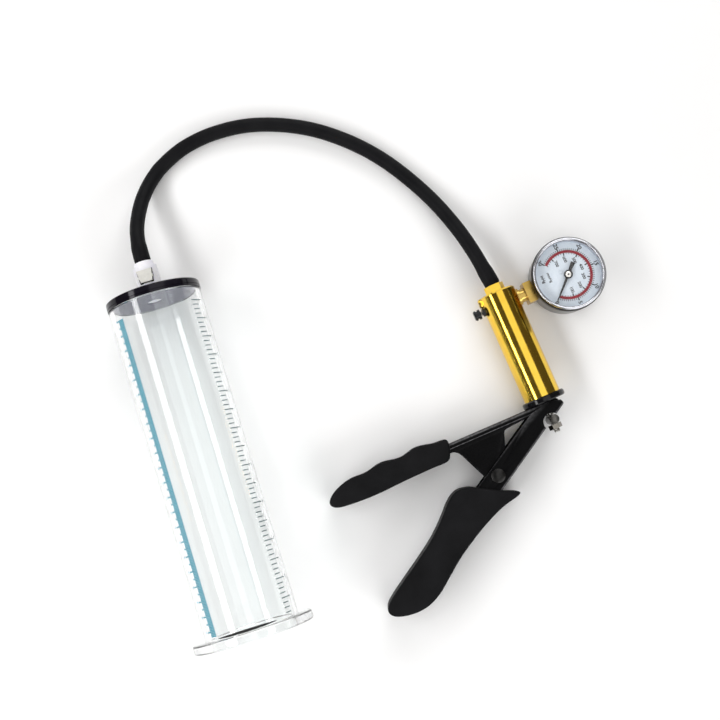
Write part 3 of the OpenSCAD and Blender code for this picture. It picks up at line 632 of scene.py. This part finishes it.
FINGER_OUTLINE = [
    (-71.8, -83), (-72.6, -78.4), (-81, -77.6), (-93.5, -75.2), (-105.5, -77.5),
    (-119, -75.4), (-131, -77.6), (-143, -77.4), (-155, -81), (-161.6, -87),
    (-158.5, -91.8), (-148, -93.6), (-130, -94.4), (-110, -93.5), (-90, -93),
    (-77.5, -93), (-74, -89.5)]

PALM_OUTLINE = [
    (-51.5, -125.1), (-65.5, -117), (-72, -113.8), (-80, -113.1), (-87.5, -117.2),
    (-97.5, -127), (-109, -136.6), (-122.5, -145.5), (-137, -154.4), (-150, -163),
    (-153.8, -168.6), (-150.5, -173.6), (-140, -176.6), (-128, -176.1), (-117, -171.4),
    (-106, -163.3), (-95, -155.2), (-85, -149.2), (-75.5, -144), (-66, -139.5),
    (-55, -135.2), (-43, -132.5), (-41, -130)]


def modified(obj, kind, **settings):
    """Adds a modifier and applies it."""
    made = obj.modifiers.new(kind.lower(), kind)
    for key, value in settings.items():
        setattr(made, key, value)
    bpy.context.view_layer.update()
    graph = bpy.context.evaluated_depsgraph_get()
    mesh = bpy.data.meshes.new_from_object(obj.evaluated_get(graph))
    obj.modifiers.clear()
    obj.data = mesh
    return obj


def cut(obj, cutter):
    """Takes the cutter out of the object, and the cutter out of the scene."""
    modified(obj, "BOOLEAN", operation="DIFFERENCE", object=cutter, solver="EXACT")
    bpy.data.objects.remove(cutter)


def round_edges(obj, chosen, radius_mm, segments):
    """Rounds off the edges whose ends are both chosen."""
    bm = bmesh.new()
    bm.from_mesh(obj.data)
    edges = [e for e in bm.edges if all(chosen(v.co / MM) for v in e.verts)]
    bmesh.ops.bevel(bm, geom=edges, offset=radius_mm * MM, segments=segments, profile=0.5, affect="EDGES")
    bm.to_mesh(obj.data)
    bm.free()


def broken_edges(obj, width_mm):
    """Takes the sharpness off every edge, and shades the rest smooth."""
    modified(obj, "BEVEL", width=width_mm * MM, segments=2, limit_method="ANGLE",
             angle_limit=math.radians(40))
    obj.data.shade_smooth()
    obj.data.set_sharp_from_angle(angle=math.radians(32))


def place(obj, matrix, material, body, slot, *nodes):
    """Moves a finished piece to its frame, paints it and says what it belongs to."""
    obj.data.transform(matrix)
    paint(obj, MATERIALS[material])
    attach(obj, body)
    if nodes:
        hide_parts(*nodes)


def extruded(name, outline_mm, low, high):
    """A straight prism of an outline in millimetres, from low to high."""
    bm = bmesh.new()
    face = bm.faces.new([bm.verts.new((x * MM, y * MM, low * MM)) for x, y in outline_mm])
    made = bmesh.ops.extrude_face_region(bm, geom=[face])
    tops = [g for g in made["geom"] if isinstance(g, bmesh.types.BMVert)]
    bmesh.ops.translate(bm, verts=tops, vec=(0, 0, (high - low) * MM))
    return finish_mesh(name, bm)


def make_grip(name, outline, thickness, body, node):
    """A moulded rubber grip: a prism whose edges are rounded off by remeshing and smoothing."""
    points = [(p.x, p.y) for p in closed_curve([(x, y, 0) for x, y in outline], 6)]
    grip = extruded(name, points, -thickness / 2, thickness / 2)
    modified(grip, "REMESH", mode="VOXEL", voxel_size=0.8 * MM)
    modified(grip, "SMOOTH", factor=0.5, iterations=26)
    grip.data.shade_smooth()
    place(grip, PUMP, "grip_rubber", body, "grip_rubber", node)


# ---- stamped handles ----

PIVOT = (-50.0, -115.0)
LEVER_TURN = Matrix.Rotation(math.radians(31), 4, "Z")
# Lever frame: the origin is on the pivot, and +X points along the lever to its hook
LEVER = PUMP @ Matrix.Translation((PIVOT[0] * MM, PIVOT[1] * MM, 0)) @ LEVER_TURN
WEB_TOP = -82.2
WEB_T = 1.8
CHANNEL_HALF = 8.0
# Lays a prism along X, with its outline's first axis as Y and its second as Z
SIDEWAYS_PRISM = Matrix(((0, 0, 1, 0), (1, 0, 0, 0), (0, 1, 0, 0), (0, 0, 0, 1)))


def box_cutter(low_mm, high_mm):
    """A box to cut with, between two corners in millimetres."""
    bm = bmesh.new()
    box_into(bm, [c * MM for c in low_mm], [c * MM for c in high_mm])
    return finish_mesh("cutter", bm)


def round_cutter(radius_mm, length_mm, matrix):
    """A cylinder to cut with, from the matrix's origin along its Z."""
    profile = [(0, 0), (radius_mm, 0), (radius_mm, length_mm), (0, length_mm)]
    return lathe("cutter", profile, matrix, steps=48)


def make_handle_frame():
    """The fixed handle, bent from sheet into a channel with rounded corners along its web."""
    outline = [(-151, WEB_TOP), (-151, -88), (-72, -88.6), (-69.6, -89.4), (-67.6, -91), (-66, -93.4)]
    outline += arc(PIVOT, 6, 204, 339, 14)
    outline += [(-34.4, -90), (-33.4, -88.9), (-32, -88.4), (-15, -87), (3, -87), (5, -85)]
    outline += [(8.6, -85.2), (8.6, WEB_TOP)]
    sheet = extruded("handle_channel", outline, -CHANNEL_HALF, CHANNEL_HALF)
    round_edges(sheet, lambda c: c.y > WEB_TOP - 0.01 and abs(c.z) > CHANNEL_HALF - 0.01, 2.3, 6)
    inner = box_cutter((-160, -130, 1.6 - CHANNEL_HALF), (30, WEB_TOP - WEB_T, CHANNEL_HALF - 1.6))
    cut(sheet, inner)
    for side in (-1, 1):
        recess = [(-130, 7.45), (WEB_TOP - 4.0, 7.45), (WEB_TOP - 3.3, 8.15), (WEB_TOP - 3.3, 9), (-130, 9)]
        cutter = extruded("cutter", [(y, side * z) for y, z in recess], -170, 30)
        cutter.data.transform(SIDEWAYS_PRISM)
        cut(sheet, cutter)
        low, high = sorted((side * 4.5, side * (CHANNEL_HALF + 1)))
        cut(sheet, box_cutter((3.4, -130, low), (30, WEB_TOP + 1, high)))
    cut(sheet, round_cutter(3.4, 20, Matrix.Translation((0, -75 * MM, 0)) @ DOWN_BARREL))
    for x in (-7, 7):
        cut(sheet, round_cutter(1.3, 20, Matrix.Translation((x * MM, -75 * MM, 0)) @ DOWN_BARREL))
    cut(sheet, round_cutter(2.52, 40, Matrix.Translation((PIVOT[0] * MM, PIVOT[1] * MM, -20 * MM))))
    broken_edges(sheet, 0.35)
    place(sheet, PUMP, "black_steel", "pump", "black_steel", "handle_frame")


def make_palm_lever():
    """The moving lever: two hooked plates joined by a web along their lower edge."""
    half = 9.8
    outline = [(-97, -7.8), (66, -7.8), (66.4, -4.4), (61.2, 0.8), (47, 6.1), (-97, 6.9)]
    plates = extruded("lever_plates", outline, -half, half)
    round_edges(plates, lambda c: c.y < -7.79 and abs(c.z) > half - 0.01, 1.4, 5)
    cut(plates, box_cutter((-100, -6.5, -8.3), (80, 20, 8.3)))
    cut(plates, box_cutter((40, -20, -8.3), (80, 20, 8.3)))
    cut(plates, round_cutter(6.1, 60, Matrix.Translation((50.9 * MM, -8.6 * MM, -30 * MM))))
    cut(plates, round_cutter(2.58, 60, Matrix.Translation((0, 0, -30 * MM))))
    broken_edges(plates, 0.45)
    place(plates, LEVER, "black_steel", "lever", "black_steel", "palm_lever")


def make_rivet():
    """A rivet with a low domed head at each end."""
    dome = arc((0, -0.38), 11.78, 66.2, 90, 8)
    profile = [(r, -z) for r, z in reversed(dome)]
    profile += [(4.75, -10.1), (2.5, -10.1), (2.5, 10.1), (4.75, 10.1)] + dome
    rivet = lathe("rivet_domed", profile, Matrix.Translation((PIVOT[0] * MM, PIVOT[1] * MM, 0)), steps=64)
    place(rivet, PUMP, "dark_steel", "pump", "steel", "pivot_rivet")


def make_trunnion():
    """The cross pin on the rod, with crowned ends and a turned groove round each."""
    end = arc((0, 2.0), 9.2, 69.5, 90, 6)
    side = [(3.3, 10.2), (3.3, 9.4), (3.05, 9.2), (3.05, 8.9), (3.3, 8.7)]
    upper = side[::-1] + end
    profile = [(r, -z) for r, z in reversed(upper)] + upper
    pin = lathe("trunnion_turned", profile, Matrix.Translation((0, -95 * MM, 0)), steps=48)
    place(pin, PUMP, "pin_steel", "piston_assembly", "steel", "trunnion")


def make_stud_thread():
    """Ridges of the thread on the rod's stud, either side of its nut."""
    pitch = 0.7
    profile = [(1.2, 98.4)]
    for k in range(7):
        at = 98.5 + k * pitch
        profile += [(1.95, at), (2.2, at + pitch / 2), (1.95, at + pitch - 0.05)]
    profile += [(1.5, 103.8), (1.2, 103.8)]
    thread = lathe("stud_thread", profile, DOWN_BARREL, steps=32)
    place(thread, PUMP, "worn_steel", "piston_assembly", "steel")


# ---- springs ----

SLOTS = {part["node"]: part["material_slot"] for part in frame["record"]["subparts"]}


def make_spring(node, matrix, start_mm, end_mm, radius, wire, turns):
    """A coil spring whose end coils lie closer."""
    start, end = Vector(start_mm), Vector(end_mm)
    length = (end - start).length
    along = (end - start).normalized()
    side = along.orthogonal().normalized()
    across = along.cross(side)
    steps, sides = 28 * turns, 12
    bm = bmesh.new()
    rows = []
    for i in range(steps + 1):
        t = i / steps
        closer = t - 0.55 * math.sin(2 * math.pi * t) / (2 * math.pi)
        a = 2 * math.pi * turns * t
        out = math.cos(a) * side + math.sin(a) * across
        middle = start + along * (wire / 2 + (length - wire) * closer) + out * radius
        ring = [middle + wire / 2 * (math.cos(b) * out + math.sin(b) * along)
                for b in (2 * math.pi * k / sides for k in range(sides))]
        rows.append([bm.verts.new(point * MM) for point in ring])
    add_ring_rows(bm, rows)
    bm.faces.new(rows[0])
    bm.faces.new(rows[-1])
    spring = finish_mesh(node + "_coil", bm)
    place(spring, matrix, SLOTS[node], "pump", SLOTS[node], node)
    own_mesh(spring)


def make_springs():
    make_spring("return_spring", PUMP, (0, -71.7, 0), (0, -36.3, 0), 7, 1.3, 8)
    make_spring("release_spring", PUMP, (-12.7, -9.6, 0), (-15.9, -9.6, 0), 1.75, 0.34, 3)
    make_spring("latch_spring", CYLINDER, (0, 19, 5.7), (0, 19, 8.9), 1.1, 0.3, 3)
    make_spring("coupling_valve_spring", CYLINDER, (0, 4.1, 0), (0, 7.5, 0), 2.25, 0.34, 3)


# ---- coupling and cap ----

def make_latch_surround():
    """A black plate just under the latch's thumb tab and a little wider than it: painted shade for the gap round
    the tab. It is open for the latch's leg and its spring.
    """
    outline = [(-4.8, 11.9), (4.5, 11.9), (5.6, 21.3), (-5.6, 21.3)]
    plate = extruded("latch_painted_shade", outline, 7.52, 7.75)
    cut(plate, box_cutter((-7, 15.25, 7), (7, 17.35, 8)))
    cut(plate, round_cutter(1.6, 2, Matrix.Translation((0, 19 * MM, 7 * MM))))
    # the black plate is painted shade round the latch tab
    place(plate, CYLINDER, "black_plastic", "pump", "nylon")


def make_cap():
    """The black cap, with a fine groove round it and a rounded outer edge."""
    profile = [(5, 0), (32.0, 0), (32.2, 0.2), (32.2, 1.3), (31.85, 1.5), (31.85, 1.8), (32.2, 2.0)]
    profile += arc((31.2, 4.8), 1.0, 0, 90, 6) + [(5, 5.8)]
    cap = lathe("cap_turned", profile, None, steps=160)
    place(cap, CYLINDER @ OUTWARD, "black_gloss", "pump", "black_gloss", "cylinder_cap")
    # A thin disc on the black cap's inner face, slate-lavender and paler than the cap: a painted reflection of the
    # floor and the tube seen in that face.
    disc = lathe("cap_inner_disc", [(5.2, -0.3), (28.3, -0.3), (28.3, -0.03), (5.2, -0.03)], None, steps=128)
    place(disc, CYLINDER @ OUTWARD, "cap_face_painted_reflection", "pump", "black_gloss")


JOINT_AT = -225.1


def make_joint_line():
    """A black sliver on the tube where the flange is bonded to it, only over the top: a painted dark reflection,
    widest a little left of the top.
    """
    bm = bmesh.new()
    rows = []
    for k in range(41):
        t = k / 40
        a = math.radians(-38 + 76 * t)
        half = 0.95 * math.sin(math.pi * t) ** 0.6 * MM + 0.02 * MM
        rows.append([bm.verts.new((r * MM * math.sin(a), JOINT_AT * MM + y, r * MM * math.cos(a)))
                     for r, y in ((31.72, -half), (31.72, half), (31.8, half), (31.8, -half))])
    add_ring_rows(bm, rows)
    bm.faces.new(rows[0])
    bm.faces.new(rows[-1])
    # the black sliver is a painted dark reflection in the flange's bond, not a seal
    place(finish_mesh("painted_joint_reflection", bm), CYLINDER, "black_rubber", "pump", "clear_acrylic")


# ---- gauge ----

def make_bezel():
    """A spun bezel: straight skirt, rounded shoulder, and a lip that dips to the glass."""
    profile = [(24.25, 10.4), (25.0, 10.4), (25.2, 10.6), (25.2, 12.0), (25.05, 12.15), (25.2, 12.3)]
    profile += [(25.2, 15.8), (25.0, 16.15), (24.6, 16.2)]
    profile += arc((23.5, 16.9), 1.1, 0, 90, 8)
    profile += [(23.1, 17.9), (22.8, 17.65), (22.5, 17.2), (22.4, 16.75), (24.25, 16.75)]
    bezel = lathe("bezel_spun", profile, None, steps=160)
    # The straight skirt is given near-black steel: a painted dark reflection along the bezel's outer edge, which
    # is chrome like the rest.
    skirt = [face.index for face in bezel.data.polygons if face.center.xy.length > 24.65 * MM]
    place(bezel, GAUGE, "chrome", "pump", "chrome", "gauge_bezel")
    bezel.data.materials.append(MATERIALS["dark_steel"])
    for k in skirt:
        bezel.data.polygons[k].material_index = 1


def make_dial_ring():
    """A pale spacer ring that holds the dial down and the glass up."""
    profile = [(22.42, 11.25), (22.85, 11.25), (22.85, 15.02), (22.6, 15.02), (22.42, 14.8)]
    ring = lathe("dial_ring", profile, None, steps=160)
    place(ring, GAUGE, "ring_grey", "pump", "dial_white")


DIAL_TOP = 11.2
PRINT_T = 0.05


def dial_matrix(angle, radius):
    """Where a print of that radius stands at that dial angle, upright for a stem at the bottom."""
    a = math.radians(angle)
    spot = Matrix.Translation((radius * MM * math.cos(a), radius * MM * math.sin(a), DIAL_TOP * MM))
    return spot @ Matrix.Rotation(math.radians(-90), 4, "Z")


def arc_band_into(bm, inner, outer, start, end, low, high, steps):
    """Adds a flat ring segment, with angles in degrees and sizes in millimetres."""
    rows = []
    for k in range(steps + 1):
        a = math.radians(start + (end - start) * k / steps)
        c, s = math.cos(a), math.sin(a)
        rows.append([bm.verts.new((r * c * MM, r * s * MM, z * MM)) for r, z in
                     ((inner, low), (outer, low), (outer, high), (inner, high))])
    add_ring_rows(bm, rows)
    bm.faces.new(rows[0])
    bm.faces.new(rows[-1])


ZERO_ANGLE = -135
SWEEP = 270


def dial_ticks_into(bm, count, long_every, inner, short, long):
    """Adds radial ticks round the scale, every long_every-th one longer and wider."""
    for k in range(count + 1):
        reach, width = (long, 0.85) if k % long_every == 0 else (short, 0.42)
        a = math.radians(ZERO_ANGLE + SWEEP * k / count)
        low, high = sorted((inner, reach))
        tick = bmesh.new()
        box_into(tick, (low * MM, -width / 2 * MM, 0), (high * MM, width / 2 * MM, PRINT_T * MM))
        turn = Matrix.Translation((0, 0, DIAL_TOP * MM)) @ Matrix.Rotation(a, 4, "Z")
        bmesh.ops.transform(tick, matrix=turn, verts=tick.verts)
        holder = bpy.data.meshes.new("tick")
        tick.to_mesh(holder)
        tick.free()
        bm.from_mesh(holder)
        bpy.data.meshes.remove(holder)


def make_dial_print():
    """Two round scales, 0 to 30 outside the red band and 0 to 760 inside it, and unit names."""
    red = bmesh.new()
    arc_band_into(red, 15.0, 16.9, ZERO_ANGLE, ZERO_ANGLE + SWEEP,
                  DIAL_TOP, DIAL_TOP + PRINT_T * 0.8, 120)
    band = finish_mesh("dial_red_band", red, GAUGE)
    paint(band, INKS["dial_red"])
    black = bmesh.new()
    dial_ticks_into(black, 60, 10, 16.9, 18.2, 19.0)
    dial_ticks_into(black, 38, 5, 15.0, 14.2, 13.2)
    thick = PRINT_T * MM
    for k in range(7):
        text_into(black, str(5 * k), 3.7 * MM, thick,
                  dial_matrix(ZERO_ANGLE + SWEEP * k / 6, 20.6), 0.03)
    for k in range(1, 8):
        text_into(black, str(100 * k), 2.9 * MM, thick,
                  dial_matrix(ZERO_ANGLE + SWEEP * k / 7.6, 10.6), 0.03)
    text_into(black, "mmHg", 2.6 * MM, thick, dial_matrix(166, 12.6), 0.03)
    text_into(black, "inHg", 2.9 * MM, thick, dial_matrix(168, 17.2), 0.03)
    marks = finish_mesh("dial_marks", black, GAUGE)
    paint(marks, INKS["dial_black"])
    for piece in (band, marks):
        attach(piece, "pump")


def make_needle_hub():
    """A turned cap on the needle's hub: a black ring, and a bright disc with a hole in it."""
    outer = [(1.95, 12.95), (3.0, 12.95), (3.05, 13.3), (2.75, 13.7), (2.2, 13.75), (1.95, 13.6)]
    ring = lathe("needle_hub_ring", outer, None, steps=64)
    place(ring, GAUGE, "needle_black", "needle", "needle_black")
    inner = [(0.6, 13.55), (1.93, 13.55), (1.93, 13.7), (1.8, 13.8), (0.7, 13.85), (0.6, 13.75)]
    disc = lathe("needle_hub_disc", inner, None, steps=64)
    place(disc, GAUGE, "hub_steel", "needle", "chrome")


# ---- floor and light ----

def make_stage():
    """A plain white floor."""
    bm = bmesh.new()
    bmesh.ops.create_grid(bm, x_segments=8, y_segments=8, size=2.5)
    floor = finish_mesh("floor", bm)
    look = Look("floor_white", roughness=0.75)
    look.colour((0.92, 0.92, 0.92), (0.94, 0.94, 0.94), 3, detail=2)
    look.set(Specular_IOR_Level=0.2)
    paint(floor, look.material)


def area_light(name, at, aim, width, height, power):
    """A white panel at one point that faces another."""
    data = bpy.data.lights.new(name, "AREA")
    data.shape = "RECTANGLE"
    data.size, data.size_y = width, height
    data.energy = power
    lamp = bpy.data.objects.new(name, data)
    lamp.location = at
    lamp.rotation_mode = "QUATERNION"
    lamp.rotation_quaternion = (Vector(aim) - Vector(at)).to_track_quat("-Z", "Y")
    bpy.context.scene.collection.objects.link(lamp)


def make_lights():
    """A strip on the left, a softer panel high on the right, and low panels before and behind."""
    world = bpy.data.worlds.new("studio")
    world.use_nodes = True
    background = world.node_tree.nodes["Background"]
    background.inputs["Color"].default_value = (1.0, 0.92, 0.84, 1)
    background.inputs["Strength"].default_value = 0.09
    bpy.context.scene.world = world
    pump = PUMP.translation
    area_light("strip_left", (-0.73, 0.02, 0.73), pump, 1.6, 0.22, 8.0)
    area_light("panel_right", (0.32, 0.02, 1.25), pump, 1.6, 0.90, 4.9)
    area_light("panel_front", (0.6, -1.2, 0.9), (0.15, 0, 0), 1.8, 0.7, 13.4)
    area_light("panel_back", (0.6, 1.3, 0.9), (0.15, 0, 0), 1.8, 0.7, 14.0)


make_camera()
make_hose()
dress_cad_nodes()
make_clear_cylinder()
make_inch_scale()
make_metric_scale()
make_grip("finger_grip_rubber", FINGER_OUTLINE, 22, "pump", "finger_grip")
make_grip("palm_grip_rubber", PALM_OUTLINE, 24, "lever", "palm_grip")
make_handle_frame()
make_palm_lever()
make_rivet()
make_trunnion()
make_stud_thread()
make_bezel()
make_dial_ring()
make_springs()
make_latch_surround()
make_cap()
make_joint_line()
make_dial_print()
make_needle_hub()
make_stage()
make_lights()

bpy.context.scene.view_settings.view_transform = "Standard"
